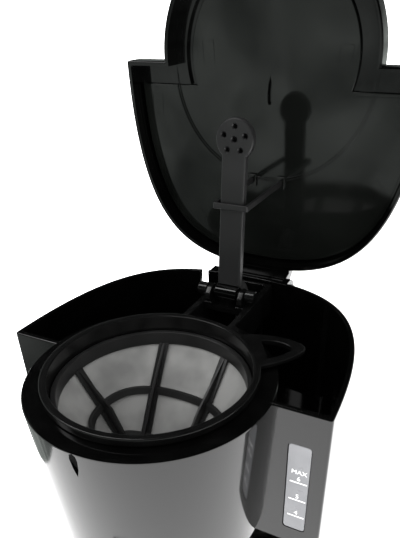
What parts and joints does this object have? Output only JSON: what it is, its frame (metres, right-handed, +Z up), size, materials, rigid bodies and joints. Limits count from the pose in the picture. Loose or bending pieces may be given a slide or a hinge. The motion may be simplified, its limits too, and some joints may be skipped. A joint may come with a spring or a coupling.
{
  "type": "drip coffee maker",
  "caption": "Compact drip coffee maker with a hinged lid, swinging water arm, lift-out filter bucket with mesh basket, round brew head, rear tank with level window, hot plate and glass jug.",
  "frame": {"origin": "centre of the bounding box with the lid open, on the surface the feet stand on", "axes": "+X to the right seen from the front, +Y to the back, +Z up; the brew head faces -Y"},
  "size_m": [0.166, 0.2256, 0.4013],
  "materials": {
    "gloss_shell": "moulded, polished",
    "satin_black": "fine satin",
    "liner_plastic": "moulded, semi-gloss",
    "charcoal_plastic": "satin",
    "basket_plastic": "satin",
    "nylon_mesh": "fine woven nylon",
    "level_pane": "frosted, translucent",
    "jug_glass": "clear, blown",
    "clear_silicone": "matt",
    "black_rubber": "matt",
    "steel_parts": "brushed",
    "water_pipe": "drawn",
    "cast_heater": "as cast",
    "coated_plate": "non-stick coating",
    "ceramic": "unglazed",
    "red_lens": "translucent, polished",
    "brown_wire": "insulation",
    "blue_wire": "insulation"
  },
  "bodies": {
    "housing": {"upper_housing": "gloss_shell", "level_window": "level_pane", "brew_well": "satin_black", "bridge_frame": "satin_black", "riser_pipe": "water_pipe", "riser_grommet": "clear_silicone", "riser_elbow": "black_rubber", "column_shell": "gloss_shell", "column_panel": "satin_black", "base_housing": "gloss_shell", "bottom_cover": "satin_black", "cord_inlet_bush": "black_rubber", "foot_1": "black_rubber", "foot_2": "black_rubber", "foot_3": "black_rubber", "foot_4": "black_rubber", "base_screw_1": "steel_parts", "base_screw_2": "steel_parts", "base_screw_3": "steel_parts", "base_screw_4": "steel_parts", "hot_plate": "coated_plate", "plate_gasket": "clear_silicone", "heater_casting": "cast_heater", "heater_bracket": "steel_parts", "thermostat": "ceramic", "thermal_fuse_1": "ceramic", "thermal_fuse_2": "ceramic", "inlet_hose": "clear_silicone", "outlet_hose": "clear_silicone", "check_valve_ball": "steel_parts", "terminal_block": "ceramic", "live_wire": "brown_wire", "neutral_wire": "blue_wire", "switch_body": "satin_black", "pilot_lens": "red_lens"},
    "lid": {"lid_shell": "gloss_shell", "lid_liner": "liner_plastic", "lid_bail": "charcoal_plastic", "lid_hinge_pin": "steel_parts"},
    "arm": {"arm_body": "charcoal_plastic", "arm_cover": "charcoal_plastic", "arm_pivot_shaft": "satin_black"},
    "rocker": {"switch_rocker": "red_lens"},
    "bucket": {"filter_bucket": "satin_black", "valve_spring": "steel_parts"},
    "drip_stop": {"valve_plunger": "charcoal_plastic", "valve_seal": "clear_silicone"},
    "filter": {"filter_frame": "basket_plastic", "filter_mesh": "nylon_mesh"},
    "jug": {"jug_glass": "jug_glass", "jug_band": "steel_parts", "jug_handle": "gloss_shell", "handle_screw": "steel_parts"},
    "jug_lid": {"jug_lid": "satin_black"}
  },
  "joints": [
    {"name": "lid_hinge", "type": "hinge", "parent": "housing", "child": "lid", "pos_m": [0, 0.09198, 0.2242], "axis": [1, 0, 0], "range_deg": [0, 90]},
    {"name": "arm_pivot", "type": "hinge", "parent": "housing", "child": "arm", "pos_m": [0, 0.05338, 0.2335], "axis": [1, 0, 0], "range_deg": [0, 96.1]},
    {"name": "switch_tilt", "type": "hinge", "parent": "housing", "child": "rocker", "pos_m": [0, -0.08662, 0.0225], "axis": [1, 0, 0], "range_deg": [0, 20]},
    {"name": "bucket_lift", "type": "slide", "parent": "housing", "child": "bucket", "axis": [0, 0, -1], "range_m": [-0.09, 0]},
    {"name": "drip_stop_travel", "type": "slide", "parent": "bucket", "child": "drip_stop", "axis": [0, 0, 1], "range_m": [0, 0.0025], "stiffness_N_per_m": 60, "springref_m": -0.005, "deforming": ["valve_spring"]},
    {"name": "filter_lift", "type": "slide", "parent": "bucket", "child": "filter", "axis": [0, 0, -1], "range_m": [-0.06, 0]},
    {"name": "jug_slide", "type": "slide", "parent": "housing", "child": "jug", "axis": [0, -1, 0], "range_m": [0, 0.15]},
    {"name": "jug_lid_turn", "type": "hinge", "parent": "jug", "child": "jug_lid", "pos_m": [0, -0.02662, 0.134], "axis": [0, 0, 1], "range_deg": [0, 45]}
  ],
  "couplings": [
    {"joint": "arm_pivot", "follows": "lid_hinge", "ratio": 1.0667}
  ]
}
